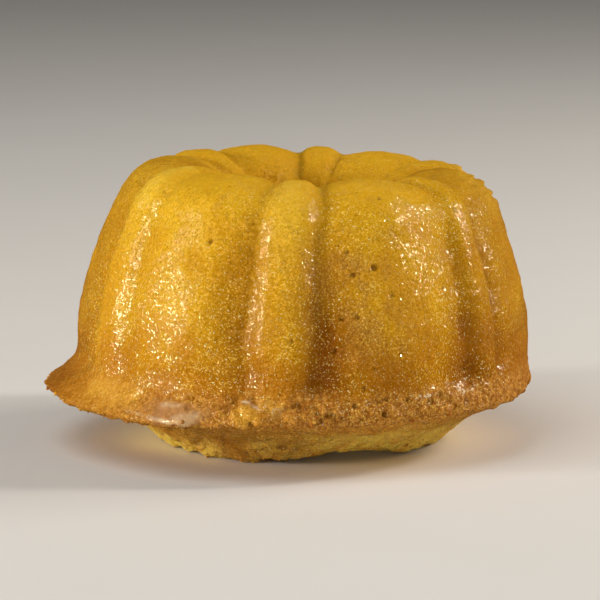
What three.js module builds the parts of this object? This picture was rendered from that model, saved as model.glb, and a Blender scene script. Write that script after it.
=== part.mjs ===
// A small rum cake in the shape of a fluted ring. It was baked in a tin and turned out upside down, so it
// stands on the dome that rose over the tin's rim, and a lip of batter that ran over the rim goes round it.
//
// Millimetres, +Z up, resting on Z = 0. The front faces -Y, and a bearing is an angle from the front
// towards +X. The cake is one solid: a closed profile is turned round the axis, and each point of the
// turned surface is then moved to make the flutes, the lip, the ragged foot and the crags.
import * as THREE from "three";
import { ImprovedNoise } from "three/addons/math/ImprovedNoise.js";
import { mergeVertices } from "three/addons/utils/BufferGeometryUtils.js";

const { degToRad, euclideanModulo, lerp, smoothstep } = THREE.MathUtils;

// Driving dimensions of the ring.
const LOBE_RADIUS = 47.9; // outside of a wide lobe, just above the lip
const TIN_DEPTH = 46; // from the tin's rim to the crest of the ring
const DOME_RISE = 13; // from the table to the tin's rim
const CREST_RADIUS = 27.7; // of the ring's highest line
const SHOULDER_RADIUS = 40.3; // where the wall turns in towards the crest
const SHOULDER_DROP = 7.8; // from the crest down to there
const SHOULDER_SLOPE = degToRad(67); // of the wall there, from the table
const THROAT_RADIUS = 14.5; // of the hole, where it turns steep
const THROAT_DROP = 11.5; // from the crest down to there
const TUBE_RADIUS = 9.2; // of the hole, at the tin's rim
const HOLE_RADIUS = 8; // of the hole, at the table
const FOOT_RADIUS = 28.5; // of the flat spot that the cake stands on
const LEAN = degToRad(2); // of the crest, towards +X, because the dome rose unevenly

// The flutes: wide lobes with a narrow rib between each two, and a groove on both sides of every rib.
const FLUTES = 6;
const FRONT_RIB = degToRad(-6); // bearing of the rib nearest the front
const RIB_HALF = degToRad(9); // from the middle of a rib to its groove
const RIB_SETBACK = 0.08; // share of a groove's depth by which a rib stands lower than a lobe
const WALL_GROOVE = 3; // depth of a groove on the outer wall
const CREST_GROOVE = 2; // depth of a groove where it crosses the crest
const GROOVE_START = 1.5; // height over the rim at which the grooves begin
const GROOVE_FULL = 8; // height over the rim at which they reach their full depth
const SKEW = { at: degToRad(-64), width: degToRad(40), by: degToRad(5) }; // the left rib sits further round

// The lip: batter that ran over the tin's rim, furthest on the left.
const LIP_THICKNESS = 3;
const LIP_FLARE = 7; // height of the sweep from the wall out to the lip
const LIP_ROOT = 34; // radius at which the lip's underside leaves the dome
const SPILLS = [
  { at: degToRad(-78), width: degToRad(46), reach: 6 },
  { at: degToRad(-31), width: degToRad(10), reach: 1.9 },
  { at: degToRad(-11), width: degToRad(6), reach: 0.9 },
  { at: degToRad(58), width: degToRad(12), reach: 0.6 },
  { at: degToRad(165), width: degToRad(38), reach: 1.8 },
];
const LIP_RETREAT = 0.6; // where no batter spilled, the edge draws in by this much
const LIP_DROOP = { at: degToRad(-46), width: degToRad(24), fall: 1.2 }; // where the spilled lip sags

// The foot: a ragged edge, lifted off the table at the front right.
const FOOT_STEADY = 18.5; // radius inside which the foot is flat all the way round
const FOOT_LIFT = { at: degToRad(24), width: degToRad(26), rise: 1.4 };
const FOOT_RAGGED = 1.2; // height of the notches in the rest of its edge

// Relief of the crumb: how far it stands in or out, and the size of its lumps.
const CRUMB_RELIEF = 0.3;
const CRUMB_SIZE = 7;
const CRAG_RELIEF = 0.9;
const CRAG_SIZE = 4.5;
const TORN_PATCH = { at: degToRad(112), width: degToRad(22) }; // torn crumb on the shoulder

const AROUND = 120; // steps round the axis: most ribs and grooves fall on whole steps

const RIM = DOME_RISE;
const TOP = DOME_RISE + TIN_DEPTH;

// The profile, counter-clockwise: out along the foot, up the dome, round the lip, up the wall, over the
// crest and down the hole. Each stretch is a curve between two turning points, and its two middle points
// give the direction in which it leaves the one and reaches the other.
function profileStretches() {
  const at = (r, z) => new THREE.Vector2(r, z);
  const holeFoot = at(HOLE_RADIUS, 0);
  const footEdge = at(FOOT_RADIUS, 0);
  const lipUnder = at(LOBE_RADIUS - 1.4, RIM - LIP_THICKNESS / 2);
  const lipEdge = at(LOBE_RADIUS + 1, RIM);
  const wallFoot = at(LOBE_RADIUS, RIM + LIP_FLARE);
  const shoulder = at(SHOULDER_RADIUS, TOP - SHOULDER_DROP);
  const crest = at(CREST_RADIUS, TOP);
  const throat = at(THROAT_RADIUS, TOP - THROAT_DROP);
  const tubeEnd = at(TUBE_RADIUS, RIM);
  const inwards = at(-Math.cos(SHOULDER_SLOPE), Math.sin(SHOULDER_SLOPE));
  const alongWall = (length) => shoulder.clone().addScaledVector(inwards, length);

  const stretch = (name, steps, ...points) => ({ name, steps, curve: new THREE.CubicBezierCurve(...points) });
  return [
    { name: "foot", steps: 4, curve: new THREE.LineCurve(holeFoot, footEdge) },
    stretch("dome", 6, footEdge, at(FOOT_RADIUS + 3, 0.5), at(FOOT_RADIUS + 5, 0.5 * RIM), lipUnder),
    stretch("lip", 3, lipUnder, at(LOBE_RADIUS, RIM - 1.3), at(LOBE_RADIUS + 1, RIM - 0.9), lipEdge),
    stretch("lip", 4, lipEdge, at(LOBE_RADIUS + 1, RIM + 1.5), at(LOBE_RADIUS, RIM + 2.5), wallFoot),
    stretch("wall", 9, wallFoot, at(LOBE_RADIUS, RIM + 18), alongWall(-12), shoulder),
    stretch("shoulder", 5, shoulder, alongWall(5.5), at(CREST_RADIUS + 6.3, TOP), crest),
    stretch("hole", 6, crest, at(CREST_RADIUS - 6.7, TOP), at(THROAT_RADIUS + 1.1, TOP - 5.5), throat),
    stretch("hole", 5, throat, at(THROAT_RADIUS - 1.1, TOP - 18), at(TUBE_RADIUS + 0.8, RIM + 10), tubeEnd),
    stretch("hole", 2, tubeEnd, at(TUBE_RADIUS - 0.6, 8), at(HOLE_RADIUS - 0.2, 4), holeFoot),
  ];
}

// Depth of the grooves at a height: on the outside of the ring they start above the lip, and on the
// inside they fade out down the hole.
function grooveDepth(name, z) {
  if (name === "foot" || name === "dome") return 0;
  if (name === "hole") return CREST_GROOVE * smoothstep(z, RIM + 10, TOP - 2);
  const started = smoothstep(z, RIM + GROOVE_START, RIM + GROOVE_FULL);
  return started * lerp(WALL_GROOVE, CREST_GROOVE, smoothstep(z, TOP - 14, TOP));
}

// How much of the lip's reach a point takes: all of it at the edge, none at the dome or up the wall.
function lipShare(name, r, z) {
  if (name === "dome") return smoothstep(r, LIP_ROOT, LOBE_RADIUS) ** 2;
  if (name !== "lip") return 0;
  return Math.max(0, 1 - Math.max(0, z - RIM) / LIP_FLARE) ** 2.5;
}

// The rows of the profile, with what each needs to be moved. The last row closes on the first.
function profileRows() {
  const rows = [];
  for (const { name, steps, curve } of profileStretches()) {
    for (const point of curve.getPoints(steps).slice(0, steps)) {
      rows.push({ name, r: point.x, z: point.y });
    }
  }
  rows.forEach((row, i) => {
    const next = rows[(i + 1) % rows.length];
    const last = rows[(i + rows.length - 1) % rows.length];
    const length = Math.hypot(next.r - last.r, next.z - last.z);
    row.outR = (next.z - last.z) / length;
    row.outZ = (last.r - next.r) / length;
    row.groove = grooveDepth(row.name, row.z);
    row.lip = lipShare(row.name, row.r, row.z);
  });
  return [...rows, rows[0]];
}

// A bell of height 1 round a bearing.
function bell(bearing, { at, width }) {
  const off = euclideanModulo(bearing - at + Math.PI, 2 * Math.PI) - Math.PI;
  return Math.exp(-((off / width) ** 2));
}

// Share of the grooves' depth at a bearing: 0 on the middle of a lobe, 1 at the bottom of a groove.
function groove(bearing) {
  const halfPitch = Math.PI / FLUTES;
  const even = bearing - SKEW.by * bell(bearing, SKEW);
  const fromRib = Math.abs(euclideanModulo(even - FRONT_RIB + halfPitch, 2 * halfPitch) - halfPitch);
  if (fromRib < RIB_HALF) return lerp(RIB_SETBACK, 1, (fromRib / RIB_HALF) ** 3);
  return (1 - (fromRib - RIB_HALF) / (halfPitch - RIB_HALF)) ** 2;
}

function lipReach(bearing) {
  return SPILLS.reduce((sum, spill) => sum + spill.reach * bell(bearing, spill), -LIP_RETREAT);
}

const perlin = new ImprovedNoise();
const noise = (x, y, z, size) => perlin.noise(x / size, y / size, z / size);

// How rough the crumb is: craggy round the lip, at the foot's edge and where the shoulder is torn.
function roughness(row, bearing) {
  const torn = row.name === "shoulder" ? bell(bearing, TORN_PATCH) : 0;
  const footEdge = row.name === "dome" ? 1 - smoothstep(row.z, 0, 0.6 * RIM) : 0;
  return Math.max(row.lip, torn, footEdge);
}

// Lift of the ragged foot off the table.
function footLift(row, bearing, x, y) {
  if (row.name !== "foot" && row.name !== "dome") return 0;
  const outside = smoothstep(row.r, FOOT_STEADY, FOOT_RADIUS + 3) * (1 - smoothstep(row.z, 0, 0.7 * RIM));
  const notch = FOOT_RAGGED * Math.max(0, noise(x, y, 0, CRAG_SIZE));
  return outside * (FOOT_LIFT.rise * bell(bearing, FOOT_LIFT) + notch);
}

// Where the point of a row goes at a bearing. The table stops what would go below it.
function placed(row, bearing) {
  const sink = row.groove * groove(bearing);
  const r = row.r - row.outR * sink + row.lip * lipReach(bearing);
  const x = r * Math.sin(bearing);
  const y = -r * Math.cos(bearing);
  const droop = row.lip * LIP_DROOP.fall * bell(bearing, LIP_DROOP);
  const z = row.z - row.outZ * sink - droop + footLift(row, bearing, x, y);

  const craggy = roughness(row, bearing);
  const relief = lerp(
    CRUMB_RELIEF * noise(x, y, z, CRUMB_SIZE),
    CRAG_RELIEF * noise(x, y, z, CRAG_SIZE),
    craggy,
  );
  const steady = row.name === "foot" ? 0 : relief;
  const point = new THREE.Vector3(
    x + steady * row.outR * Math.sin(bearing),
    y - steady * row.outR * Math.cos(bearing),
    Math.max(0, z + steady * row.outZ),
  );
  return leaned(point);
}

// The lean grows from nothing at the table to its full angle at the crest, so that the foot stays flat.
function leaned(point) {
  const angle = LEAN * smoothstep(point.z, 0, TOP);
  const up = point.z - RIM;
  return new THREE.Vector3(
    point.x * Math.cos(angle) + up * Math.sin(angle),
    point.y,
    RIM + up * Math.cos(angle) - point.x * Math.sin(angle),
  );
}

function cakeGeometry() {
  const rows = profileRows();
  const turned = new THREE.LatheGeometry(
    rows.map(({ r, z }) => new THREE.Vector2(r, z)),
    AROUND,
  );
  turned.deleteAttribute("normal");
  turned.deleteAttribute("uv");
  const position = turned.getAttribute("position");
  for (let i = 0; i < position.count; i++) {
    const row = rows[i % rows.length];
    const column = Math.floor(i / rows.length) % AROUND;
    const { x, y, z } = placed(row, (2 * Math.PI * column) / AROUND);
    position.setXYZ(i, x, y, z);
  }
  const closed = mergeVertices(turned, 1e-4);
  closed.computeBoundingBox();
  const middle = closed.boundingBox.getCenter(new THREE.Vector3());
  closed.translate(-middle.x, -middle.y, -closed.boundingBox.min.z);
  closed.computeVertexNormals();
  return closed;
}

const crust = new THREE.MeshStandardMaterial({ color: 0xc8860f, roughness: 0.35, metalness: 0 });
const cake = new THREE.Mesh(cakeGeometry(), crust);
cake.name = "cake";

const rumCake = new THREE.Group();
rumCake.add(cake);

export default rumCake;
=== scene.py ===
# %% [markdown]
# # A small rum cake
# The cake was baked in a fluted ring tin, turned out upside down and soaked in syrup. It has a wet golden
# crust with fine grain, a rough brown collar where batter ran over the tin's rim, and a soft yellow foot.
# The solid already has the true size and form. This lesson puts a finer surface of the same form in its
# place, because grain, pits and crumbs need far more faces than a solid should have.

# %% Load the solid
from types import SimpleNamespace

import bpy
import numpy as np
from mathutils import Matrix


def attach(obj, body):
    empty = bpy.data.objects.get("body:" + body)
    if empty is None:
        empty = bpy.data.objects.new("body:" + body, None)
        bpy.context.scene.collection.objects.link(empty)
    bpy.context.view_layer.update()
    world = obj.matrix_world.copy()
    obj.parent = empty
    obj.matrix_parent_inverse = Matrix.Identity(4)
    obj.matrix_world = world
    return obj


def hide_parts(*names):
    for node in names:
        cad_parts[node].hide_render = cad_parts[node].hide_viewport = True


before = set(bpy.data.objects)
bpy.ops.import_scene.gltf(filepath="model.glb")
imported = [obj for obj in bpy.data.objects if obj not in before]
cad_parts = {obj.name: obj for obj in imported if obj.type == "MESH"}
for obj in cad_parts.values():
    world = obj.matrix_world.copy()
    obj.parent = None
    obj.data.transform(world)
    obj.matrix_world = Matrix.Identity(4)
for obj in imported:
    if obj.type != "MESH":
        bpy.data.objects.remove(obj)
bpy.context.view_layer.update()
MM = 0.001  # the sizes below are millimetres, and Blender's unit is the metre

# %% [markdown]
# ## Where the hole stands
# Batter spilled further on one side, so the middle of the cake's box isn't the middle of its hole. The
# ring is worked out round the axis of the hole. Two typed numbers would be wrong as soon as the solid
# changes, so the axis is measured: of the solid's points on the table, those nearest the middle are the
# edge of the hole.

# %% Find the axis of the hole
HOLE_RADIUS = 8  # at the table
TABLE_SLACK = 0.01  # a point this low lies on the table

solid_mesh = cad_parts["cake"].data
solid_points = np.zeros(3 * len(solid_mesh.vertices), np.float32)
solid_mesh.vertices.foreach_get("co", solid_points)
solid_points = solid_points.reshape(-1, 3) / MM
on_table = solid_points[solid_points[:, 2] < TABLE_SLACK, :2]
from_middle = np.linalg.norm(on_table - on_table.mean(axis=0), axis=1)
hole_edge = on_table[from_middle < 1.3 * HOLE_RADIUS]
axis_x, axis_y = (hole_edge.min(axis=0) + hole_edge.max(axis=0)) / 2
print(f"axis of the hole, mm: {axis_x:.2f}, {axis_y:.2f}")

# %% [markdown]
# ## The profile
# A ring cake is a closed profile turned round an axis: out along the foot, up the dome, round the lip,
# up the wall, over the crest and down the hole. Blender's Spin tool could turn a drawn curve. Here the
# profile is an array of points, so that every later step can move whole rows at once.

# %% Sizes of the ring
LOBE_RADIUS = 47.9  # outside of a wide lobe, just above the lip
TIN_DEPTH = 46  # from the tin's rim to the crest
RIM = 13  # height of the tin's rim over the table
TOP = RIM + TIN_DEPTH
CREST_RADIUS = 27.7
SHOULDER_RADIUS, SHOULDER_DROP = 40.3, 7.8
SHOULDER_SLOPE = np.radians(67)
THROAT_RADIUS, THROAT_DROP = 14.5, 11.5
TUBE_RADIUS = 9.2  # of the hole, at the tin's rim
FOOT_RADIUS = 28.5
LIP_HALF = 1.5  # half the lip's thickness
LIP_FLARE = 7  # height of the sweep from the wall out to the lip
print("across the lobes and up to the crest, mm:", 2 * LOBE_RADIUS, TOP)

# %% [markdown]
# ## Curves between the sizes
# A cubic Bezier curve needs only its two ends and a handle for each, like Blender's own curves. Nine of
# them, end to end, close the profile. Each row keeps the name of its stretch and the direction out of
# the cake, along which the grooves push it in.


# %% Turn the sizes into a closed profile
def bend(start, leave, arrive, end, steps):
    """A cubic Bezier curve: the four points, weighted by (1-t)^3, 3t(1-t)^2, 3t^2(1-t) and t^3."""
    t = np.linspace(0, 1, steps, endpoint=False)[:, None]
    weights = np.hstack([(1 - t) ** 3, 3 * t * (1 - t) ** 2, 3 * t**2 * (1 - t), t**3])
    return weights @ np.array([start, leave, arrive, end], float)


hole_foot, foot_edge = (HOLE_RADIUS, 0), (FOOT_RADIUS, 0)
lip_under, lip_edge = (LOBE_RADIUS - 1.4, RIM - LIP_HALF), (LOBE_RADIUS + 1, RIM)
wall_foot = (LOBE_RADIUS, RIM + LIP_FLARE)
shoulder = np.array([SHOULDER_RADIUS, TOP - SHOULDER_DROP])
inwards = np.array([-np.cos(SHOULDER_SLOPE), np.sin(SHOULDER_SLOPE)])
crest, throat = (CREST_RADIUS, TOP), (THROAT_RADIUS, TOP - THROAT_DROP)
tube_end = (TUBE_RADIUS, RIM)
stretches = [
    ("foot", bend(hole_foot, (14.8, 0), (21.7, 0), foot_edge, 12)),
    ("dome", bend(foot_edge, (FOOT_RADIUS + 3, 0.5), (FOOT_RADIUS + 5, 0.5 * RIM), lip_under, 34)),
    ("lip", bend(lip_under, (LOBE_RADIUS, RIM - 1.3), (LOBE_RADIUS + 1, RIM - 0.9), lip_edge, 10)),
    ("lip", bend(lip_edge, (LOBE_RADIUS + 1, RIM + 1.5), (LOBE_RADIUS, RIM + 2.5), wall_foot, 24)),
    ("wall", bend(wall_foot, (LOBE_RADIUS, RIM + 18), shoulder - 12 * inwards, shoulder, 70)),
    ("shoulder", bend(shoulder, shoulder + 5.5 * inwards, (CREST_RADIUS + 6.3, TOP), crest, 28)),
    ("hole", bend(crest, (CREST_RADIUS - 6.7, TOP), (THROAT_RADIUS + 1.1, TOP - 5.5), throat, 24)),
    ("hole", bend(throat, (THROAT_RADIUS - 1.1, TOP - 18), (TUBE_RADIUS + 0.8, RIM + 10), tube_end, 16)),
    ("hole", bend(tube_end, (TUBE_RADIUS - 0.6, 8), (HOLE_RADIUS - 0.2, 4), hole_foot, 6)),
]
profile = np.vstack([points for _, points in stretches])
part_of = np.concatenate([np.full((len(points), 1), name) for name, points in stretches])
row_r, row_z = profile[:, :1], profile[:, 1:]
ahead = np.roll(profile, -1, axis=0) - np.roll(profile, 1, axis=0)
ahead /= np.linalg.norm(ahead, axis=1, keepdims=True)
out_r, out_z = ahead[:, 1:], -ahead[:, :1]
print("profile:", len(profile), "rows")

# %% [markdown]
# ## Random lumps
# Nothing baked is smooth, so most of the steps below need a random field that is the same on each run.
# Geometry nodes could move the points by a Noise texture. Gradient noise is short to write with numpy,
# and the same field can then shift the borders of the regions too.

# %% A field of lumps
LUMP_DIRECTIONS = np.random.default_rng(7).normal(size=(512, 3))
LUMP_DIRECTIONS /= np.linalg.norm(LUMP_DIRECTIONS, axis=1, keepdims=True)
HASH_PRIMES = np.array([73856093, 19349663, 83492791])
SEED_STRIDE = 37.7  # cubes by which each seed moves the field
FULL_SWING = 1.6  # brings the usual swing of the field to about 1


def lumps(points, size, seed=0):
    """Random lumps about `size` millimetres across, from about -1 to 1.

    Space is cut into cubes of that size, and each corner has a fixed random direction. A corner pushes by
    the distance to it along that direction. The eight pushes are blended by 6t^5 - 15t^4 + 10t^3.
    """
    scaled = np.asarray(points) / size + SEED_STRIDE * seed
    cell = np.floor(scaled).astype(np.int64)
    inside = scaled - cell
    blend = inside**3 * (inside * (6 * inside - 15) + 10)
    total = np.zeros(scaled.shape[:-1])
    for corner in np.ndindex(2, 2, 2):
        mixed = (cell + corner) * HASH_PRIMES
        direction = LUMP_DIRECTIONS[(mixed[..., 0] ^ mixed[..., 1] ^ mixed[..., 2]) % len(LUMP_DIRECTIONS)]
        share = np.prod(np.where(np.array(corner, bool), blend, 1 - blend), axis=-1)
        total += share * np.sum(direction * (inside - corner), axis=-1)
    return FULL_SWING * total


sample = lumps(np.random.default_rng(1).uniform(0, 99, size=(999, 3)), 5)
print(f"lumps swing from {sample.min():.2f} to {sample.max():.2f}")

# %% [markdown]
# ## Round the axis
# Every row of the profile becomes a ring of points. Even columns would do, but the pores at the front
# are only about a millimetre wide and the back is plain. A sine added to the even turn crowds the
# columns at the front and still closes the ring without a seam.

# %% Turn the profile round the axis
AROUND = 446
FRONT_CROWD = 0.4  # columns stand 0.4 mm apart at the front and 0.9 mm at the back


def turned(radius, bearing, height):
    """Points at a radius and a bearing, which is an angle from the front, -Y, towards +X."""
    parts = np.broadcast_arrays(radius * np.sin(bearing), -radius * np.cos(bearing), height)
    return np.stack(parts, axis=-1)


even_turn = np.linspace(0, 2 * np.pi, AROUND, endpoint=False)[None, :]
bearing = even_turn - FRONT_CROWD * np.sin(even_turn)
column_width = 1 - FRONT_CROWD * np.cos(even_turn)
plain_ring = turned(row_r, bearing, row_z)
print("grid:", plain_ring.shape[:2], "triangles:", 2 * plain_ring[..., 0].size)

# %% [markdown]
# ## Shares of the ring
# Flutes, spills and brown areas all ask how much of something is here. The answer is a share, from 0 to
# 1 at each point. Weight painting gives such shares too, but by hand. Four kinds are enough here: a
# smooth step, a bell round a bearing, lumps on the ring, and whole stretches of the profile.


# %% Steps, bells, lumps and stretches
def step(x, low, high):
    """0 below `low`, 1 above `high`, and 3t^2 - 2t^3 on the way between them."""
    t = np.clip((x - low) / (high - low), 0, 1)
    return t * t * (3 - 2 * t)


def swing(bearing, at):
    """The angle from one bearing to another, brought between minus and plus half a turn."""
    return (bearing - at + np.pi) % (2 * np.pi) - np.pi


def bell(bearing, at, width):
    """A bell of height 1 round a bearing: e to the minus square of the angle over the width."""
    return np.exp(-((swing(bearing, at) / width) ** 2))


def around(at_deg, width_deg):
    """The bell for each column of the ring, from a bearing and a width in degrees."""
    return bell(bearing, np.radians(at_deg), np.radians(width_deg))


def ring_lumps(size, seed=0):
    """The field of lumps at each point of the plain ring."""
    return lumps(plain_ring, size, seed)


def on(*names):
    """Which rows of the profile are on the named stretches."""
    return np.isin(part_of, names)


print("columns within 20 degrees of the front:", int((around(0, 20) > np.exp(-1)).sum()))

# %% [markdown]
# ## Flutes
# The tin presses six wide lobes into the ring, with a narrow rib between each two and a groove on both
# sides of each rib. Booleans could cut them. Here one function of the bearing gives how deep the crust
# lies, and one of the height how deep the grooves are, so the flutes run over the crest and fade out
# down the hole. A groove is averaged over a few neighbours, because syrup and crumb round it.

# %% Depth of the flutes
FLUTES = 6
HALF_PITCH = np.pi / FLUTES
FRONT_RIB = np.radians(-6)
RIB_HALF = np.radians(9)  # from the middle of a rib to its groove
RIB_SETBACK = 0.08
RIB_POWER, LOBE_POWER = 3.2, 2
WALL_GROOVE, CREST_GROOVE = 3, 2
FLUTE_START, FLUTE_FULL = RIM + 1.5, RIM + 8  # heights between which the flutes grow out of the lip
CREST_FADE = TOP - 14  # from here up the grooves get shallower
HOLE_FADE = RIM + 33  # down to here they run into the hole
SKEW_AT, SKEW_WIDTH, SKEW_BY = np.radians([-64, 40, 5])  # the left rib sits nearer the front
NARROW_AT, NARROW_WIDTH, NARROW_BY = np.radians(53.5), np.radians(12), 0.5  # the right rib is narrower
GROOVE_ROUNDING = np.radians([-1.6, -0.8, 0, 0.8, 1.6])
FLUTE_WOBBLE = 0.016  # radians by which a flute strays from its line


def groove_share(bearing):
    """0 on the middle of a lobe and 1 at the bottom of a groove.

    Down a lobe it grows with the square of the way to the groove. Across a rib it grows with a higher
    power, so a rib has a flat back and steep sides.
    """
    even = bearing - SKEW_BY * bell(bearing, SKEW_AT, SKEW_WIDTH)
    even = even + NARROW_BY * swing(bearing, NARROW_AT) * bell(bearing, NARROW_AT, NARROW_WIDTH)
    from_rib = np.abs((even - FRONT_RIB + HALF_PITCH) % (2 * HALF_PITCH) - HALF_PITCH)
    rib = RIB_SETBACK + (1 - RIB_SETBACK) * (from_rib / RIB_HALF) ** RIB_POWER
    lobe = (1 - (from_rib - RIB_HALF) / (HALF_PITCH - RIB_HALF)) ** LOBE_POWER
    return np.where(from_rib < RIB_HALF, rib, lobe)


strayed = bearing + FLUTE_WOBBLE * ring_lumps(17)
flute = np.mean([groove_share(strayed + turn) for turn in GROOVE_ROUNDING], axis=0)
on_ring = on("lip", "wall", "shoulder")
outer_depth = WALL_GROOVE + (CREST_GROOVE - WALL_GROOVE) * step(row_z, CREST_FADE, TOP)
wall_depth = step(row_z, FLUTE_START, FLUTE_FULL) * outer_depth
hole_depth = CREST_GROOVE * step(row_z, HOLE_FADE, TOP)
groove_depth = np.where(on_ring, wall_depth, np.where(on("hole"), hole_depth, 0))
sink = groove_depth * flute * (1 + 0.2 * ring_lumps(9, 2))
sink = sink * (1 - 0.3 * around(-50, 14))  # the groove right of the left rib is shallower
print(f"deepest groove, mm: {sink.max():.2f}")

# %% [markdown]
# ## The lip
# Batter that ran over the tin's rim baked into a lip. It reaches furthest on the left and sags there.
# Sculpting would shape it, but not twice alike. The sum of a few bells round the ring gives its reach,
# and lumps of two sizes break its edge into crags.

# %% Reach of the lip
SPILLS = [  # bearing, width, reach
    (-78, 46, 6), (-31, 10, 1.9), (-11, 6, 0.9), (58, 12, 0.6), (165, 38, 1.8),
]
LIP_RETREAT = 0.6  # where nothing spilled
LIP_ROOT = 34  # radius at which the lip's underside leaves the dome
DROOP_AT, DROOP_WIDTH, DROOP_FALL = -46, 24, 1.2

reach = sum(far * around(at, width) for at, width, far in SPILLS) - LIP_RETREAT
dome_share = step(row_r, LIP_ROOT, LOBE_RADIUS) ** 2
edge_share = np.clip(1 - np.maximum(row_z - RIM, 0) / LIP_FLARE, 0, 1) ** 2.5
lip_share = np.where(on("dome"), dome_share, np.where(on("lip"), edge_share, 0))
ragged = 0.55 * ring_lumps(4.2) + 0.5 * ring_lumps(1.9)
droop = lip_share * DROOP_FALL * around(DROOP_AT, DROOP_WIDTH)
print(f"lip reaches {reach.min():.1f} to {reach.max():.1f} mm past the rim")

# %% [markdown]
# ## The foot
# The cake stands on the dome that rose out of the tin. Its edge is torn, and right of the front it
# stands clear of the table, so a dark gap shows under it. A lattice could bend it up. Here a bell lifts
# the edge, and the flat ring that carries the cake is narrower there. Lumps that only lift make the
# notches.

# %% Lift of the foot
FOOT_STEADY = 18.5  # inside this radius the foot is flat
LIFT_AT, LIFT_WIDTH, LIFT_RISE = 22, 24, 2.3
LIFT_DEPTH = 7  # how far the gap reaches into the flat ring

steady = FOOT_STEADY - LIFT_DEPTH * around(LIFT_AT, LIFT_WIDTH)
outside = step(row_r, steady, FOOT_RADIUS + 3) * (1 - step(row_z, 0, 0.7 * RIM))
notches = 1.2 * np.maximum(ring_lumps(4.5, 3), 0) + 0.8 * np.maximum(ring_lumps(1.8, 4), 0)
lift = outside * (LIFT_RISE * around(LIFT_AT, LIFT_WIDTH) + notches)
lift = np.where(on("foot", "dome"), lift, 0)
print(f"foot lifts up to {lift.max():.1f} mm")

# %% [markdown]
# ## The smooth form
# Flutes, lip and foot now move the plain ring. The normals of this smooth form are kept, because the fine
# relief is pushed along them. A Displace modifier would do the same to a mesh, but the next steps still
# need the form as a grid.


# %% The smooth form, before its grain
def outward(grid):
    """Unit normals of a grid that closes both ways: the cross product of the steps to its neighbours."""
    sideways = np.roll(grid, -1, axis=1) - np.roll(grid, 1, axis=1)
    along = np.roll(grid, -1, axis=0) - np.roll(grid, 1, axis=0)
    normal = np.cross(sideways, along)
    return normal / np.linalg.norm(normal, axis=-1, keepdims=True)


radius = row_r - out_r * sink + lip_share * (reach + ragged)
height = row_z - out_z * sink - droop + lift
form = turned(radius, bearing, height)
form_out = outward(form)
print("form, mm:", np.ptp(form.reshape(-1, 3), axis=0).round(1))

# %% [markdown]
# ## Regions
# The cake has three kinds of surface: the smooth crust that lay against the tin, the rough collar round
# the lip, and the open crumb of the dome. Separate meshes would meet in hard lines. Instead each region
# is a share, with a border that lumps shift. The same shares later steer the colours.

# %% Shares of collar, crumb and torn crust
COLLAR_TOP = 3.2, 6.4  # heights over the rim between which the collar fades into the wall
COLLAR_FOOT = -8, -2.5  # heights over the rim between which it fades into the dome
CRUMB_TOP = -8.5, -3  # heights over the rim between which the open crumb ends
BROWN_DOME = [(-40, 25, 2), (-55, 10, 2.5)]  # bearing, width, how far the collar reaches down
TORN_AT, TORN_WIDTH = 102, 22
SMOOTH_AT, SMOOTH_WIDTH = -74, 32  # the thin spill on the left baked smooth
LUMP_AT, LUMP_OVER, LUMP_RADIUS = np.radians(-12.8), 1.1, 3.0  # a golden lump of clean batter on the collar

over_rim = row_z - RIM
below = on("foot", "dome")
shifted = over_rim + 1.3 * ring_lumps(6, 5) + 0.7 * ring_lumps(2, 6)
under = shifted + 1.5 * ring_lumps(9, 7) + sum(by * around(at, width) for at, width, by in BROWN_DOME)
collar = np.where(on("lip", "wall"), 1 - step(shifted, *COLLAR_TOP), 0)
collar = np.where(on("dome"), step(under, *COLLAR_FOOT), collar)
open_crumb = np.where(below, 1 - step(under, *CRUMB_TOP), 0)
smooth = around(SMOOTH_AT, SMOOTH_WIDTH) * collar
lump = bell(bearing, LUMP_AT, LUMP_RADIUS / LOBE_RADIUS) * (collar > 0)
lump = lump * np.exp(-(((over_rim - LUMP_OVER) / (0.7 * LUMP_RADIUS)) ** 2))
torn = on("wall", "shoulder") * around(TORN_AT, TORN_WIDTH)
torn = torn * step(row_z, TOP - 9, TOP - 6) * (1 - step(row_z, TOP - 1, TOP - 0.2))
torn = torn * step(ring_lumps(6, 8), -0.8, -0.2)
print("shares of the grid:", {"collar": collar.mean().round(2), "crumb": open_crumb.mean().round(2)})

# %% [markdown]
# ## Syrup
# Syrup has soaked into the crust, and where it stood on the lip it dried to a smooth milky film. The
# film fills the crags, so there the relief is damped and the surface is raised a little, with a round
# edge. A thin sheet of its own could do it too, but it would have to follow each crag without crossing
# it.

# %% Spots of syrup on the lip
SYRUP_SPOTS = [  # bearing, height over the rim, half width, half height
    (-30.5, 0.7, 8.0, 2.6),
    (-13.5, 3.3, 1.3, 0.5),
    (-11, 2.6, 1.2, 0.5),
]


def from_place(at, over):
    """Millimetres from a place on the ring's side: round it, as angle times radius, and up from it."""
    return swing(bearing, np.radians(at)) * LOBE_RADIUS, height - RIM - over


def spot_share(at, over, half_width, half_height):
    """1 inside an ellipse on the side of the ring, 0 outside it, with a soft and wavy edge."""
    across, up = from_place(at, over)
    far = np.hypot(across / half_width, up / half_height)
    return 1 - step(far + 0.3 * ring_lumps(2.5, 9), 0.35, 1.15)


on_side = on("lip", "wall")
syrup = np.max([spot_share(*spot) for spot in SYRUP_SPOTS], axis=0) * on_side
print("syrup covers", int((syrup > 0.5).sum()), "points")
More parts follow.
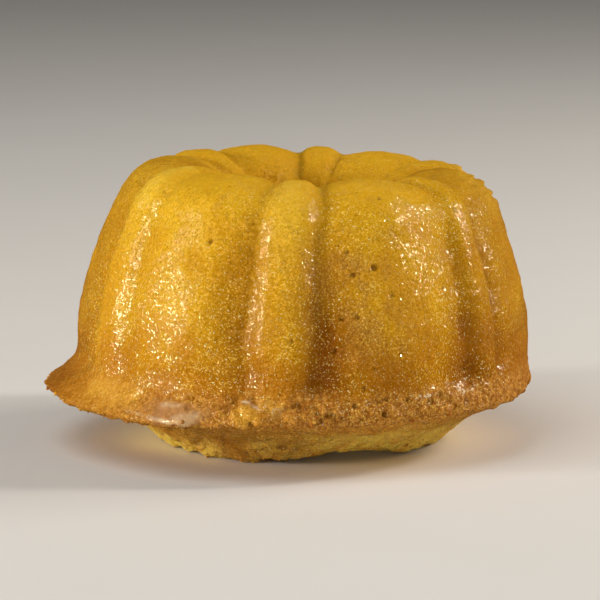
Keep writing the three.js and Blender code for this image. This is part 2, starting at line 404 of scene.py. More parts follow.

# %% [markdown]
# ## Painted highlights of syrup
# Wet syrup mirrors the lamps in thin bright lines: at the edges of a pool, where a drop ran, and in a few
# spots on the collar. These are painted highlights, pale streaks in the colour, and the mesh is raised a
# little along them. Strokes painted on an image would show them, but the image would have to be kept with
# the cake. A streak here is a line between two places on the side of the ring, with a width and a wavy
# border.

# %% Pale streaks painted as highlights of wet syrup
HIGHLIGHT_STREAKS = [  # bearing and height over the rim of one end, the same of the other end, half width, how much
    (-45, -0.3, -36, -0.6, 0.25, 0.3),
    (-36, -0.6, -30, -1.0, 0.3, 0.5),
    (-30, -1.0, -26, -1.1, 0.3, 0.5),
    (-28.7, -0.5, -24.8, 0.2, 1.0, 0.35),
    (-34, 1.8, -29.6, 2.1, 0.5, 0.3),
    (-14.3, 3.3, -12.4, 3.4, 0.3, 0.65),
    (-12.4, 3.4, -10.1, 1.9, 0.3, 0.65),
    (27.7, 4.0, 32.8, 4.0, 0.4, 0.9),
    (42.5, 4.3, 44.1, 3.2, 0.7, 0.8),
    (4.6, -0.7, 5.0, -0.7, 0.4, 0.5),
    (-9.5, 2.6, -5.5, 1.9, 0.7, 0.3),
]


def streak(at, over, end_at, end_over, half_width, much):
    """A share along a line on the side of the ring. It falls with the distance from it, in half widths."""
    across, up = from_place(at, over)
    run, rise = np.radians(end_at - at) * LOBE_RADIUS, end_over - over
    along = np.clip((across * run + up * rise) / (run**2 + rise**2), 0, 1)
    far = np.hypot(across - along * run, up - along * rise) / half_width
    return much * (1 - step(far + 0.6 * ring_lumps(1.2, 26), 0.2, 1.5))


film = np.max([streak(*line) for line in HIGHLIGHT_STREAKS], axis=0) * on_side
print("streaks cover", int((film > 0.3).sum()), "points")

# %% [markdown]
# ## Pits
# Bubbles left pores in the crust, and larger pits in the collar and the open crumb. A bump map could
# shade them, but a pit in the mesh also has a shadow and a rim. Those that show most are listed one by
# one, and the rest are drawn at random from the points of their region with a fixed seed.

# %% Where the pits are
PORES = [  # bearing, height over the rim, radius
    (18.4, 30.2, 0.95), (12.6, 28.6, 0.8), (11.3, 33.4, 0.65), (13.7, 20.8, 0.7), (23, 24.7, 0.65),
    (9.7, 20.2, 0.65), (8.5, 13.8, 0.75), (22.8, 43.3, 0.6), (39.8, 25.1, 0.6), (-2.8, 15.9, 0.6),
    (-27.6, 33.8, 0.75), (15.3, 6.3, 0.7), (13, 2.9, 0.8), (20.1, 1, 0.95), (20.6, 3.8, 0.7),
    (25.8, 3.5, 0.7), (-1.9, 2.9, 0.7), (4, 1.6, 0.7), (4.4, 0.6, 0.8), (4.9, -0.5, 0.8),
    (9.3, 0.8, 0.7), (14.1, -0.1, 0.7), (34, 1.3, 0.6), (-11.7, -0.6, 0.8),
]
CRUST_PORES, CRUST_SMALLEST, CRUST_LARGEST = 60, 0.4, 0.65
CRUMB_PITS, CRUMB_SMALLEST, CRUMB_LARGEST = 40, 0.6, 1.4
random = np.random.default_rng(23)


def scattered(share, count, smallest, largest):
    """Centres drawn from the grid's points by a share, and radii, of which more are small than large."""
    weights = (np.broadcast_to(share, form.shape[:2]) * column_width).ravel()
    picks = random.choice(weights.size, count, replace=False, p=weights / weights.sum())
    radii = smallest + (largest - smallest) * random.random(count) ** 2.5
    return np.column_stack([form.reshape(-1, 3)[picks], radii])


def placed(at, over, pit_radius):
    """The centre of a pit at a bearing and a height over the rim, on the nearest point of the outside."""
    away = np.where(on_ring, np.hypot(*from_place(at, over)), np.inf)
    return np.append(form.reshape(-1, 3)[away.argmin()], pit_radius)


crust_share = on("wall", "shoulder", "hole") * (1 - collar) * step(row_z, RIM + 7, RIM + 11)
pit_table = np.vstack([
    [placed(*pore) for pore in PORES],
    scattered(crust_share, CRUST_PORES, CRUST_SMALLEST, CRUST_LARGEST),
    scattered(open_crumb, CRUMB_PITS, CRUMB_SMALLEST, CRUMB_LARGEST),
])
print("pits:", len(pit_table))

# %% [markdown]
# ## Dents
# A pit is a dent round a point of the surface. A perfect bowl would look drilled, so the distance to its
# middle is measured from points that lumps have shaken a little. The collar is porous all over, so its
# pits are the hollows of a field of lumps.

# %% Dents of the pits
WORN_AT, WORN_WIDTH = 78, 28  # the collar on the right is worn smoother
SHAKE = 0.3

shaken = form + SHAKE * np.stack([ring_lumps(1.5, seed) for seed in (21, 22, 23)], axis=-1)
worn = around(WORN_AT, WORN_WIDTH)
pits = 0.6 * step(ring_lumps(1.9, 24) + 0.4 * ring_lumps(4, 25), 0.2, 0.8)
pits = pits * collar * (1 - smooth) * (1 - 0.7 * worn)
for *centre, pit_radius in pit_table:
    near = np.sum((shaken - centre) ** 2, axis=-1) / pit_radius**2
    pits = np.maximum(pits, np.clip(1 - near, 0, 1) * pit_radius)
print(f"deepest pit, mm: {pits.max():.2f}")

# %% [markdown]
# ## Relief
# The smooth form now gets its surface. A bump map could fake it, but the crags of the collar and the torn
# shoulder show in the outline. Each region has lumps of its own sizes: low and fine on the crust, high
# and sharp on the collar, soft on the open crumb, and stepped where the shoulder tore.

# %% Heights of each region's lumps
TEAR_STEP = 2.9  # length along the profile from one torn step to the next


def crags(size, seed):
    """Sharp lumps: the crests where a random field crosses zero, from about -1 to 1."""
    return 1 - 3 * np.abs(ring_lumps(size, seed))


broad = 0.3 * ring_lumps(11, 13)
fine = 0.2 * ring_lumps(4.8, 10) + 0.13 * ring_lumps(2.4, 11) + 0.08 * ring_lumps(1.3, 12)
rough = 0.36 * crags(2.8, 14) + 0.32 * ring_lumps(1.4, 15)
rough = rough * (1 - 0.5 * worn)
soft = 0.4 * ring_lumps(4.5, 16) + 0.25 * ring_lumps(1.9, 17)
along_profile = np.cumsum(np.hypot(*np.diff(profile, axis=0, prepend=profile[:1]).T))[:, None]
terrace = (along_profile / TEAR_STEP + 0.4 * ring_lumps(9, 18)) % 1
tear = 1.5 * (0.5 - terrace) + 0.4 * crags(2.6, 18) + 0.4 * ring_lumps(1.6, 19) - 0.2
print(f"crags from {rough.min():.2f} to {rough.max():.2f} mm, tear up to {tear.max():.2f} mm")

# %% [markdown]
# ## From form to surface
# The shares weigh the heights, and the points move along the normals of the form. A stack of Displace
# modifiers could do it, but one sum shows what covers what: syrup fills what lies under it, and the table
# stops what would go below it.

# %% Move the points
SYRUP_DEPTH, STREAK_DEPTH, LUMP_HEIGHT, PIT_DEPTH = 0.3, 0.15, 1.2, 0.9

relief = broad + fine * (1 - collar) + rough * (collar - 0.9 * smooth)
relief = relief + soft * open_crumb + tear * torn + LUMP_HEIGHT * lump
relief = relief * (1 - 0.85 * syrup) + SYRUP_DEPTH * syrup
relief = relief + STREAK_DEPTH * film - PIT_DEPTH * pits * (1 - syrup)
relief = np.where(on("foot"), 0, relief)
shaped = form + form_out * relief[..., None]
shaped[..., 2] = np.maximum(shaped[..., 2], 0)
print(f"relief from {relief.min():.2f} to {relief.max():.2f} mm")

# %% [markdown]
# ## The lean
# The dome rose unevenly, so the ring leans a little to the right. Turning the whole object would lift its
# foot off the table. Here the angle grows from nothing at the table to its full size at the crest, as a
# Simple Deform modifier bends a mesh.

# %% Lean and place the ring
LEAN = np.radians(2)


def leaned(points):
    """Points turned about the rim's middle, by an angle that grows from the table up to LEAN at the top."""
    x, y, z = np.moveaxis(points, -1, 0)
    angle = LEAN * step(z, 0, TOP)
    up = z - RIM
    leaned_x = x * np.cos(angle) + up * np.sin(angle)
    leaned_z = RIM + up * np.cos(angle) - x * np.sin(angle)
    return np.stack([leaned_x, y, leaned_z], axis=-1)


cake_grid = leaned(shaped) + [axis_x, axis_y, 0]
cake_out = outward(cake_grid)
print("cake, mm:", np.ptp(cake_grid.reshape(-1, 3), axis=0).round(1))

# %% [markdown]
# ## Browning and painted shade
# The crust is browner in the deep grooves, low on the wall and on the right. Part of this brown is the
# tin's heat, and part is painted shade: on the flanks that turn from the lamps, in the grooves, at the far
# edges, in the hole and on the foot near the table. Colouring by the grooves' depth alone gives even
# stripes, and the real ones differ. A list of areas is truer: each is a bell round a bearing, and it fades
# out upwards.

# %% Browned areas and painted shade
BROWN_AND_SHADED_AREAS = [  # bearing, width, how much, height over the rim at which it fades
    (5, 7.5, 0.7, 28),
    (24, 20, 0.3, 14),
    (-18.5, 8, 0.45, 30),
    (51, 8, 0.55, 28),
    (45, 5, 0.3, 16),
    (62, 14, 0.14, 60),
    (86, 22, 0.56, 50),
    (-11.5, 3, 0.2, 60),
    (-35, 14, 0.25, 8),
    (22, 14, 0.13, 30),
    (-85, 14, 0.4, 60),
    (150, 40, 0.35, 30),
    (-110, 35, 0.3, 30),
    (-160, 30, 0.4, 30),
]
FADE_HALF = 12  # half the height over which an area fades


def brown_and_shade(at, width, much, fade):
    """A bell round a bearing, less a smooth step upwards round a height."""
    faded = 1 - 0.85 * step(over_rim, fade - FADE_HALF, fade + FADE_HALF)
    return much * around(at, width) * faded


# Some areas are browner crust, and others are painted shade on flanks and grooves that turn from the lamps.
browned = sum(brown_and_shade(*area) for area in BROWN_AND_SHADED_AREAS) * (1 + 0.5 * ring_lumps(7, 31))
# Painted shade on the foot, darker near the table and on its right.
foot_painted_shade = 0.8 * around(-18, 24) * (1 + 0.5 * ring_lumps(6, 34))
foot_painted_shade = foot_painted_shade * (1 - 0.8 * step(over_rim, -7, -4)) + 0.2 * around(48, 18)
tip_browned = 0.9 * lip_share * around(-86, 20)
# The hole gets a little painted shade too.
browned = np.where(below, foot_painted_shade, browned + 0.08 * on("hole"))
browned = np.clip(browned + tip_browned, 0, 1)
print(f"browned share: {browned.mean():.2f} on average")

# %% [markdown]
# ## Other areas of the finish
# The crust isn't equally wet or golden. A patch on the right lobe looks dull, because its crumb is open.
# A spill on the collar is a clear yellow. On the dome the collar is painted lighter under the lip, as
# painted light where the lip shades it. The tops of the left and the front rib get a painted highlight in
# pale yellow. The far sides and the hole are matt. Masks could be painted on the mesh. As shares from the
# same few functions they stay editable numbers.

# %% Dull, yellow, painted-highlight and matt areas
GOLD_PATCHES = [(-59, 2.4, -45, 2.2, 2.4, 0.8), (-9, 3.4, -5.5, 2.2, 1.9, 0.8)]  # as the streaks
MATT = [(88, 20, 0.85), (-86, 12, 0.7), (-62, 8, 0.3)]  # bearing, width, how much
MATT_HOLE = 0.85

wavy = over_rim + 6 * ring_lumps(10, 35)
dull = around(13, 13) * step(wavy, 8, 16) * (1 - step(wavy, 30, 44))
dull = dull * step(ring_lumps(5, 32) + 0.5 * ring_lumps(2.2, 33), -0.5, 0.4) * on_side
gold_patch = np.max([streak(*line) for line in GOLD_PATCHES], axis=0) * on_side
# Clean batter is yellow; on the dome the collar under the lip is painted lighter, as painted light.
clean = np.maximum(step(lump, 0.25, 0.75), np.where(on("dome"), 0.28 * collar, gold_patch))
# A painted highlight in pale yellow on the tops of the left and the front rib.
left_top_highlight = around(-61, 5) * step(row_z, TOP - 12, TOP - 4) * on("shoulder")
left_top_highlight = left_top_highlight * (0.6 + 0.4 * step(-row_r, -31, -28))
front_top_highlight = bell(bearing, FRONT_RIB, np.radians(7)) * step(row_z, TOP - 22, TOP - 6)
sunny = np.maximum(left_top_highlight, 0.45 * front_top_highlight * on("wall", "shoulder"))
left_flank = 0.6 * around(-40, 24) * step(over_rim, 27, 38)
far_sides = np.max([much * around(at, width) for at, width, much in MATT], axis=0)
matt = np.maximum(np.maximum(0.5 * dull, left_flank), far_sides)
matt = np.where(on("hole"), MATT_HOLE, matt)
print(f"dull {dull.mean():.2f}, sunny {sunny.mean():.2f}, matt {matt.mean():.2f} on average")

# %% [markdown]
# ## Into Blender
# A grid that closes both ways has no open edge and no pole, like the ring itself. Its faces are quads
# between neighbouring rows and columns. The shares go along as named attributes of the points, where a
# material can read them. Colour attributes could carry them too, but a share by name is easier to read
# in a formula.


# %% Make the cake's mesh
def made(name, points, faces, shares):
    """An object from points in millimetres and faces, shaded smooth, with an attribute for each share."""
    mesh = bpy.data.meshes.new(name)
    mesh.from_pydata((points * MM).tolist(), [], faces.tolist())
    mesh.shade_smooth()
    for share_name, values in shares.items():
        attribute = mesh.attributes.new(share_name, "FLOAT", "POINT")
        attribute.data.foreach_set("value", np.asarray(values, np.float32).ravel())
    piece = bpy.data.objects.new(name, mesh)
    bpy.context.scene.collection.objects.link(piece)
    return piece


index = np.arange(cake_grid[..., 0].size).reshape(cake_grid.shape[:2])
beside = np.roll(index, -1, axis=1)
quads = np.stack([index, beside, np.roll(beside, -1, axis=0), np.roll(index, -1, axis=0)], axis=-1)
cake_shares = {
    "groove": sink / WALL_GROOVE,
    "browned": browned,
    "collar": collar * (1 - 0.8 * lump) * (1 - 0.7 * smooth),
    "crumb": open_crumb,
    "syrup": syrup,
    "calm": np.maximum(syrup, 0.6 * smooth),
    "pit": np.clip(1.6 * pits, 0, 1),
    "torn": torn,
    "clean": clean,
    "film": film,
    "dull": dull,
    "sunny": sunny,
    "matt": matt,
}
cake_shares = {name: np.broadcast_to(share, form.shape[:2]) for name, share in cake_shares.items()}
cake = made("cake_surface", cake_grid.reshape(-1, 3), quads.reshape(-1, 4), cake_shares)
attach(cake, "root")
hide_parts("cake")
print(cake.name, len(cake.data.polygons), "quads")

# %% [markdown]
# ## Crumbs
# Small crumbs cling to the lip's edge and to the torn foot. Each is a little ball with a lumpy skin,
# pressed halfway into the surface. Instances would be lost in an export, so all crumbs are one mesh: a
# template ball is stretched, turned and moved for every crumb in one array operation.

# %% A template ball
BALL_ROWS, BALL_COLUMNS = 3, 7


def ball(rows, columns):
    """Directions of a ball, as rings at equal steps of slant and then the two poles, and its triangles."""
    slant = np.linspace(0, np.pi, rows + 2)[1:-1, None]
    turn = np.linspace(0, 2 * np.pi, columns, endpoint=False)[None, :]
    rings = np.broadcast_arrays(np.sin(slant) * np.cos(turn), np.sin(slant) * np.sin(turn), np.cos(slant))
    directions = np.vstack([np.stack(rings, axis=-1).reshape(-1, 3), [[0, 0, 1], [0, 0, -1]]])
    here = np.arange(rows * columns).reshape(rows, columns)
    beside = np.roll(here, -1, axis=1)
    north, south = np.full(columns, rows * columns), np.full(columns, rows * columns + 1)
    faces = [
        np.stack([here[:-1], here[1:], beside[:-1]], axis=-1).reshape(-1, 3),
        np.stack([beside[:-1], here[1:], beside[1:]], axis=-1).reshape(-1, 3),
        np.stack([north, here[0], beside[0]], axis=-1),
        np.stack([south, beside[-1], here[-1]], axis=-1),
    ]
    return directions, np.concatenate(faces)


ball_points, ball_faces = ball(BALL_ROWS, BALL_COLUMNS)
print("template:", len(ball_points), "points,", len(ball_faces), "triangles")

# %% [markdown]
# ## Where crumbs cling
# Most crumbs sit along the edge of the lip, above all on the left where the spill is thin and brittle,
# and some on the foot. A particle system could scatter them. Here they are drawn from the grid's points
# in proportion to a share, as the pits are.

# %% Scatter the crumbs
CRUMBS = 260
CRUMB_SMALL, CRUMB_LARGE = 0.15, 0.5
BRITTLE_AT, BRITTLE_WIDTH = -55, 24
LIP_EDGE, LIP_EDGE_HALF = -0.8, 0.9  # height of the lip's edge over the rim, and half its band
FOOT_BAND = 2.5  # crumbs cling to the foot below this height

on_lip_edge = np.abs(over_rim - LIP_EDGE) < LIP_EDGE_HALF
lip_crumbs = lip_share * on_lip_edge * (0.25 + around(BRITTLE_AT, BRITTLE_WIDTH))
foot_crumbs = on("dome") * (row_z < FOOT_BAND) * 0.12
crumb_share = np.broadcast_to((lip_crumbs + foot_crumbs) * (1 - syrup), form.shape[:2]).ravel()
picks = random.choice(crumb_share.size, CRUMBS, replace=False, p=crumb_share / crumb_share.sum())
sizes = CRUMB_SMALL + (CRUMB_LARGE - CRUMB_SMALL) * random.random(CRUMBS) ** 3
turns, _ = np.linalg.qr(random.normal(size=(CRUMBS, 3, 3)))
turns *= np.linalg.det(turns)[:, None, None]
stretched = ball_points * random.uniform(0.65, 1.25, size=(CRUMBS, 1, 3)) * sizes[:, None, None]
skin_places = ball_points + 9 * np.arange(CRUMBS)[:, None, None]
lumpy = stretched * (1 + 0.45 * lumps(skin_places, 0.9)[..., None])
centres = cake_grid.reshape(-1, 3)[picks] + 0.1 * sizes[:, None] * cake_out.reshape(-1, 3)[picks]
crumb_points = (lumpy @ turns + centres[:, None, :]).reshape(-1, 3)
crumb_points[:, 2] = np.maximum(crumb_points[:, 2], 0)
crumb_faces = (ball_faces + len(ball_points) * np.arange(CRUMBS)[:, None, None]).reshape(-1, 3)
toast = np.repeat(random.random(CRUMBS), len(ball_points))
crumbs = made("crumbs", crumb_points, crumb_faces, {"toast": toast})
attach(crumbs, "root")
print(crumbs.name, CRUMBS, "crumbs,", len(crumb_faces), "triangles")

# %% [markdown]
# ## Materials as arithmetic
# A finish is easiest to read as a formula: "amber where the wall is low, darker in the grooves". Blender
# keeps such a formula as a graph of nodes, which is quick to draw but slow to read. Two small classes
# let Python write the graph: a `Wire` is one output of a node, and operators on it add Math nodes.


# %% Wires
class Wire:
    """One output of a shader node. Operators on it add Math nodes, so `1 - mask` is a subtraction."""

    def __init__(self, recipe, socket):
        self.recipe = recipe
        self.socket = socket

    def also(self, output):
        """Another output of the same node."""
        return Wire(self.recipe, self.socket.node.outputs[output])

    def maths(self, operation, *terms):
        """A Math node on the terms, which are wires or numbers."""
        return self.recipe.node("ShaderNodeMath", {"operation": operation}, dict(enumerate(terms)))

    def __add__(self, other):
        return self.maths("ADD", self, other)

    def __sub__(self, other):
        return self.maths("SUBTRACT", self, other)

    def __rsub__(self, other):
        return self.maths("SUBTRACT", other, self)

    def __mul__(self, other):
        return self.maths("MULTIPLY", self, other)

    __radd__, __rmul__ = __add__, __mul__  # a sum or product is the same from both sides

    def step(self, low, high):
        """0 at `low`, 1 at `high`, and smooth between them."""
        settings = {"interpolation_type": "SMOOTHSTEP"}
        sockets = {"Value": self, "From Min": low, "From Max": high}
        return self.recipe.node("ShaderNodeMapRange", settings, sockets)


print("reflected forms:", [name for name in vars(Wire) if name.startswith("__r")])


# %% Recipes
class Recipe:
    """A material's graph, filled one node at a time."""

    def __init__(self, name):
        self.material = bpy.data.materials.new(name)
        self.material.use_nodes = True
        self.tree = self.material.node_tree
        self.tree.nodes.clear()

    def node(self, kind, settings=None, sockets=None, output=0):
        """Adds a node: its settings first, then the value or wire of each socket, by name or number."""
        added = self.tree.nodes.new(kind)
        for name, value in (settings or {}).items():
            setattr(added, name, value)
        for key, value in (sockets or {}).items():
            socket = added.inputs[key]
            if isinstance(value, Wire):
                self.tree.links.new(value.socket, socket)
            else:
                socket.default_value = value
        return Wire(self, added.outputs[output]) if added.outputs else None

    def share(self, name):
        """One of the piece's point attributes."""
        return self.node("ShaderNodeAttribute", {"attribute_name": name}, output="Fac")

    def mixed(self, share, first, second):
        """The first colour where the share is 0, the second where it is 1."""
        return self.node("ShaderNodeMix", {"data_type": "RGBA"}, {0: share, 6: first, 7: second}, output=2)

    def layered(self, ground, layers):
        """A ground colour with layers over it, each a share and the colour that it lays over the last."""
        for share, layer in layers:
            ground = self.mixed(share, ground, layer)
        return ground

    def vector(self, operation, first, second):
        """Two vectors combined by a Vector Math node."""
        return self.node("ShaderNodeVectorMath", {"operation": operation}, {0: first, 1: second})

    def scaled(self, vector, by):
        """A vector made longer or shorter."""
        return self.node("ShaderNodeVectorMath", {"operation": "SCALE"}, {0: vector, "Scale": by})

    def noise(self, place, size, detail=2.0):
        """Blender's own noise, with lumps of a size in millimetres, from 0 to 1."""
        return self.node("ShaderNodeTexNoise", None, {"Vector": place, "Scale": 1 / size, "Detail": detail})

    def grains(self, place, size):
        """Round grains of a size in millimetres: 0 at a grain's middle, about 0.6 between grains."""
        return self.node("ShaderNodeTexVoronoi", {"feature": "F1"}, {"Vector": place, "Scale": 1 / size})

    def place(self):
        """The object's own coordinates, in millimetres."""
        return self.scaled(self.node("ShaderNodeTexCoord", output="Object"), 1 / MM)

    def principled(self, sockets):
        """Blender's general shader, with the given sockets set."""
        return self.node("ShaderNodeBsdfPrincipled", None, sockets)

    def finished(self, shader):
        """Closes the graph with a shader and returns the material."""
        self.node("ShaderNodeOutputMaterial", None, {"Surface": shader})
        return self.material


def colour(red, green, blue):
    """A colour as a screen shows it, 0 to 255, in the linear values that shaders take."""
    share = np.array([red, green, blue]) / 255
    linear = np.where(share <= 0.04045, share / 12.92, ((share + 0.055) / 1.055) ** 2.4)
    return (*linear.tolist(), 1.0)


print("colour check:", [round(part, 3) for part in colour(128, 128, 128)])

# %% [markdown]
# ## What the crust's finish reads
# The finish of the crust has to know where on the cake it is. It reads the shares of the mesh, the height
# over the table, and noise of several sizes, from clouds of colour down to single sparks. The noise uses
# the object's own coordinates, so it needs no unwrapping and moves with the cake.

# %% Shares and noise of the crust
crust = Recipe("syrup_crust")
place = crust.place()
above = crust.node("ShaderNodeSeparateXYZ", None, {0: place}, output="Z")
share = SimpleNamespace(**{name: crust.share(name) for name in cake_shares})
noise = SimpleNamespace(
    cloud=crust.noise(place, 9, 3.0),
    patch=crust.noise(place, 3.2),
    fleck=crust.noise(place, 0.9),
    speck=crust.noise(place, 0.42),
    spark=crust.noise(place, 0.36, 1.0),
    clump=crust.grains(place, 1.3),
    grain=crust.grains(place, 0.48),
)
noise.luck = crust.node("ShaderNodeSeparateColor", None, {0: noise.grain.also("Color")})
share.low = 1 - (above + 12 * (noise.cloud - 0.5)).step(RIM + 3, RIM + 24)
share.high = (above + 8 * (noise.cloud - 0.5)).step(RIM + 28, RIM + 44)
share.edges = 4 * share.groove * (1 - share.groove)
print("the finish reads", len(vars(share)), "shares and", len(vars(noise)), "kinds of noise")

# %% [markdown]
# ## Colours of the crust
# The crust is golden where the tin was hot and even, amber towards the collar and brown in the grooves.
# The brown of the grooves, of the flanks turned from the lamps and of the foot near the table is partly
# painted shade. The pits are painted darker as painted shade, and a few tops get a painted highlight.
# The collar is tan and dry, the foot a soft yellow. An image would hold all this too, but only at one
# size. Here each colour is laid over the last by a share, like glazes, and noise shifts every border.

# %% The crust from ground to glaze
gold = crust.mixed(noise.cloud.step(0.3, 0.7), colour(222, 160, 22), colour(232, 174, 28))
tan = crust.mixed(noise.fleck.step(0.35, 0.65), colour(162, 97, 26), colour(212, 150, 60))
yellow = crust.mixed(noise.patch.step(0.4, 0.65), colour(255, 222, 96), colour(240, 188, 76))
yellow = crust.layered(yellow, [
    (noise.cloud.step(0.48, 0.66) * 0.25, colour(184, 126, 42)),
    # On the foot this share is painted shade, darker near the table and on the right.
    (share.browned, colour(176, 112, 24)),
])
ground = crust.layered(gold, [
    (share.high * 0.7, colour(230, 178, 30)),
    (noise.patch.step(0.5, 0.8) * 0.35, colour(204, 150, 56)),
    (share.dull * 0.55, colour(190, 136, 58)),
    (share.low * 0.78, colour(190, 116, 14)),
    # Painted highlight in pale yellow on the rib tops.
    (share.sunny * 0.7, colour(255, 214, 74)),
    # Darker brown in the grooves and browned areas: partly browner crust, partly painted shade.
    ((0.3 * share.groove.step(0.15, 1.0) + share.browned) * 0.85, colour(140, 78, 10)),
    (share.collar * 0.85, tan),
    # Clean batter in yellow, and on the dome under the lip a lighter collar as painted light.
    (share.clean * 0.7, colour(234, 173, 60)),
    (share.crumb, yellow),
    (share.torn * 0.5, colour(226, 176, 60)),
    (share.syrup * (0.3 + 0.6 * noise.patch), colour(196, 146, 98)),
    # Pits painted dark brown: painted shade in the hollows.
    (share.pit.step(0.25, 0.85) * 0.6, colour(118, 66, 4)),
])
print("ground colour:", len(crust.tree.nodes), "nodes so far")

# %% [markdown]
# ## Specks and sparks
# Close up, the crust is a crowd of grains: dark hollows, pale crumbs, and tiny points that catch the
# light. Real glints smaller than a pixel would blur to a haze, so the finest sparkle is in the colour.
# It is densest on the edges of the ribs and low on the wall, and absent under syrup.

# %% Specks over the ground
lively = (1 - share.calm) * (1 - 0.4 * share.matt) * (1 - 0.25 * above.step(TOP - 2.5, TOP - 0.3))
dark = (1 - noise.speck.step(0.35, 0.47)) * (0.3 + 0.3 * share.dull + 0.12 * share.low) * lively
dark = dark * (1 - 0.7 * above.step(TOP - 9, TOP - 3))
pale = 0.2 + 0.5 * noise.cloud.step(0.42, 0.6) + 0.2 * share.dull
pale = noise.speck.step(0.56, 0.65) * pale * (1 - 0.5 * share.browned) * lively
sparks = 0.34 + 0.35 * share.edges + 0.4 * noise.cloud.step(0.46, 0.62) + 0.25 * share.low
sparks = noise.spark.step(0.66, 0.72) * sparks * lively * (1 - 0.8 * share.matt)
# Pale streaks in the colour, painted as highlights of wet syrup.
painted_streaks = share.film * (share.calm + (1 - share.calm) * noise.luck.step(0.5, 0.62))
speckled = crust.layered(ground, [
    (dark, colour(136, 78, 8)),
    (pale, colour(250, 211, 90)),
    (sparks, colour(255, 240, 172)),
    (painted_streaks, colour(250, 226, 184)),
])
print("with specks:", len(crust.tree.nodes), "nodes so far")

# %% [markdown]
# ## Grain and wetness
# The wet shine comes from the shape: fine grains tilt every way under a thin film of syrup, and each
# mirrors the lights. Grains this small would need millions of faces, so each one tips the normal its own
# way, and a bump map adds its round back. Some grains are soaked and mirror sharply, others have dried.
# One shader can't be both, so a wet and a dry one are mixed grain by grain.

# %% Finish of the crust
DRY_TILT, WET_TILT = 0.65, 0.34
at_crest = above.step(TOP - 4, TOP - 0.8)
sharp = (1 - share.calm) * (1 - 0.35 * at_crest)


def tipped_grain(by):
    """Normals that tip every grain its own way, with the round backs of grains and clumps on top."""
    tilt = crust.vector("SUBTRACT", noise.grain.also("Color"), (0.5, 0.5, 0.5))
    smooth_normal = crust.node("ShaderNodeNewGeometry", output="Normal")
    tipped = crust.vector("ADD", smooth_normal, crust.scaled(tilt, by * sharp))
    facet = crust.node("ShaderNodeVectorMath", {"operation": "NORMALIZE"}, {0: tipped})
    backs = 0.07 * (1 - noise.grain * noise.grain) + 0.12 * (1 - noise.clump * noise.clump)
    bump_height = backs * sharp + 0.4 * noise.fleck * share.collar
    sockets = {"Height": bump_height, "Strength": 1.0, "Distance": MM, "Normal": facet}
    return crust.node("ShaderNodeBump", None, sockets)


glowing = {"Subsurface Weight": 0.15, "Subsurface Radius": (1.0, 0.5, 0.12)}  # light passes through sponge
sponge = glowing | {"Base Color": speckled, "Subsurface Scale": 1.5 * MM}
dry = crust.principled(sponge | {
    "Normal": tipped_grain(DRY_TILT),
    "Roughness": 0.55,
    "Specular IOR Level": 0.15,
})
wet = crust.principled(sponge | {
    "Normal": tipped_grain(WET_TILT),
    "Roughness": 0.06 + 0.12 * share.collar + 0.3 * at_crest,
    "Specular IOR Level": 0.85,
    "Specular Tint": (1, 0.93, 0.75, 1),
})
soaked = (noise.luck + 1.2 * (noise.cloud - 0.5) + 0.3 * share.edges).step(0.42, 0.62)
soaked = soaked * (1 - 0.9 * share.crumb) * (1 - 0.5 * share.collar) * (1 - share.matt)
soaked = soaked * (1 - 0.75 * above.step(TOP - 5, TOP - 1)) + share.syrup
mixed_grains = crust.node("ShaderNodeMixShader", None, {0: soaked, 1: dry, 2: wet})
cake.data.materials.append(crust.finished(mixed_grains))
print(cake.active_material.name, len(crust.tree.nodes), "nodes")

# %% [markdown]
# ## The crumbs' finish
# Crumbs are dry inside and toasted outside, each a little differently. Noise would colour one crumb in
# patches. The `toast` attribute has one value for each crumb, so each has an even colour of its own.

# %% Finish of the crumbs
crumb = Recipe("toasted_crumb")
place = crumb.place()
bump = {"Height": crumb.noise(place, 0.4), "Strength": 0.6, "Distance": 0.2 * MM}
toasted = crumb.principled(glowing | {
    "Base Color": crumb.mixed(crumb.share("toast"), colour(226, 170, 60), colour(176, 104, 26)),
    "Roughness": 0.35 + 0.25 * crumb.noise(place, 1.2),
    "Normal": crumb.node("ShaderNodeBump", None, bump),
    "Subsurface Scale": MM,
})
crumbs.data.materials.append(crumb.finished(toasted))
print(crumbs.active_material.name, len(crumb.tree.nodes), "nodes")

# %% [markdown]
# ## A pale floor
# The floor only carries the shadow, so it is one large quad at the height of the table, in a matt pale
# grey with a hardly visible grain. A curved backdrop would do as well, but the quad reaches far behind
# what the camera sees. Glossy rays don't meet it, so wet grain mirrors only the lights.

# %% Lay the floor
FLOOR_HALF = 4000

floor_corners = FLOOR_HALF * np.array([[-1, -1, 0], [1, -1, 0], [1, 1, 0], [-1, 1, 0]])
floor = made("floor", floor_corners, np.array([[0, 1, 2, 3]]), {})
floor.visible_glossy = False
paint = Recipe("pale_floor")
floor_shade = paint.mixed(paint.noise(paint.place(), 60), colour(234, 233, 230), colour(238, 237, 235))
floor.data.materials.append(paint.finished(paint.principled({"Base Color": floor_shade, "Roughness": 0.8})))
print("floor:", 2 * FLOOR_HALF * MM, "m wide")

# %% [markdown]
# ## Light
# The cake is lit mostly from the left, as by a window, and less from the right. A large dim panel
# overhead and a low one in front keep the near side from going dark. A window could also make the
# glints, but then one brightness has to suit both. So the windows only light the cake, and a smaller
# panel in front of each shows only as glints on wet grain, tinted like syrup.

# %% Hang the lights
TARGET = np.array([axis_x, axis_y, 30.0])
DAYLIGHT = (1.0, 0.97, 0.93)
WARM_WINDOW, WARM_BACK = (1.0, 0.9, 0.79), (1.0, 0.9, 0.78)
LEFT_SYRUP, RIGHT_SYRUP = (1.0, 0.92, 0.68), (1.0, 0.95, 0.8)
SURROUND, SURROUND_STRENGTH = (1.0, 0.98, 0.94, 1), 0.1


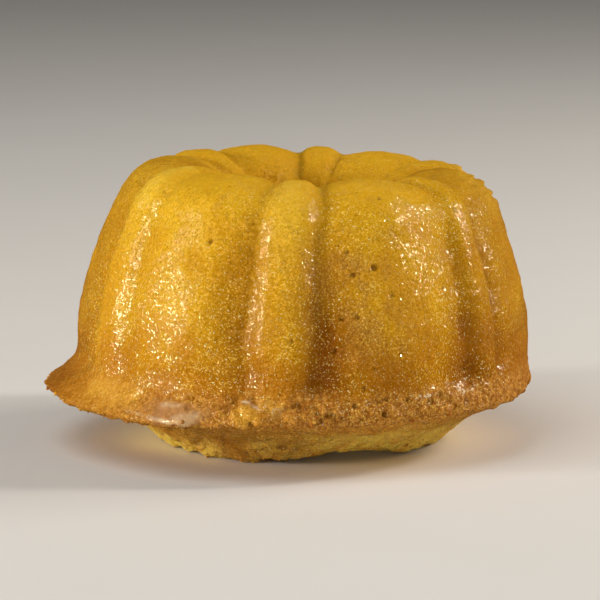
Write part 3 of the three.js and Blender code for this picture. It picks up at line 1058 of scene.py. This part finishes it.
def panel(name, bearing_deg, rise_deg, distance, side, watts, tint, mirrored=False):
    """A square light that faces the cake from a bearing and a rise, both in degrees.

    A mirrored one only shows as a glint on wet grain. The others light the cake and the floor.
    """
    lamp = bpy.data.lights.new(name, "AREA")
    lamp.size = side * MM
    lamp.energy = watts
    lamp.color = tint
    holder = bpy.data.objects.new(name, lamp)
    rise, at = np.radians(rise_deg), np.radians(bearing_deg)
    away = np.append(np.cos(rise) * turned(1, at, 0)[:2], np.sin(rise))
    holder.location = (TARGET + distance * away) * MM
    holder.rotation_euler = (np.pi / 2 - rise, 0, at)
    holder.visible_glossy = mirrored
    holder.visible_diffuse = not mirrored
    bpy.context.scene.collection.objects.link(holder)


panel("left_window", -72, 11, 900, 150, 4.2, DAYLIGHT)
panel("left_glint", -72, 11, 840, 105, 4.6, LEFT_SYRUP, mirrored=True)
panel("right_window", 93, 30, 950, 115, 3.2, WARM_WINDOW)
panel("right_glint", 93, 30, 890, 90, 3.5, RIGHT_SYRUP, mirrored=True)
panel("right_back", 108, 26, 950, 400, 3.6, WARM_BACK)
panel("overhead", -45, 60, 1200, 900, 5.3, DAYLIGHT)
panel("low_front", -10, 2, 1000, 300, 2.5, DAYLIGHT)
surround = bpy.data.worlds.new("surround")
surround.use_nodes = True
glow = surround.node_tree.nodes["Background"].inputs
glow["Color"].default_value = SURROUND
glow["Strength"].default_value = SURROUND_STRENGTH
surround.cycles_visibility.glossy = False
bpy.context.scene.world = surround
bpy.context.scene.view_settings.view_transform = "Standard"

# %% [markdown]
# ## Camera
# The picture was taken from a little above the cake with a long lens. A camera could be placed by eye.
# Here its distance, its rise and the width that the picture covers at the cake are given, and the lens
# follows from them.

# %% Set up the camera
CAMERA_AIM = np.array([2.36, 0, 29.35])
CAMERA_DISTANCE, CAMERA_RISE = 712, np.radians(9.6)
PICTURE_WIDTH = 127.8  # millimetres that the picture covers at the cake

lens = bpy.data.cameras.new("camera")
lens.sensor_width = 36
lens.lens = lens.sensor_width * CAMERA_DISTANCE / PICTURE_WIDTH
camera = bpy.data.objects.new("camera", lens)
camera_side = np.array([0, -np.cos(CAMERA_RISE), np.sin(CAMERA_RISE)])
camera.location = (CAMERA_AIM + CAMERA_DISTANCE * camera_side) * MM
camera.rotation_euler = (np.pi / 2 - CAMERA_RISE, 0, 0)
bpy.context.scene.collection.objects.link(camera)
bpy.context.scene.camera = camera
print(f"lens: {lens.lens:.0f} mm")

# %% [markdown]
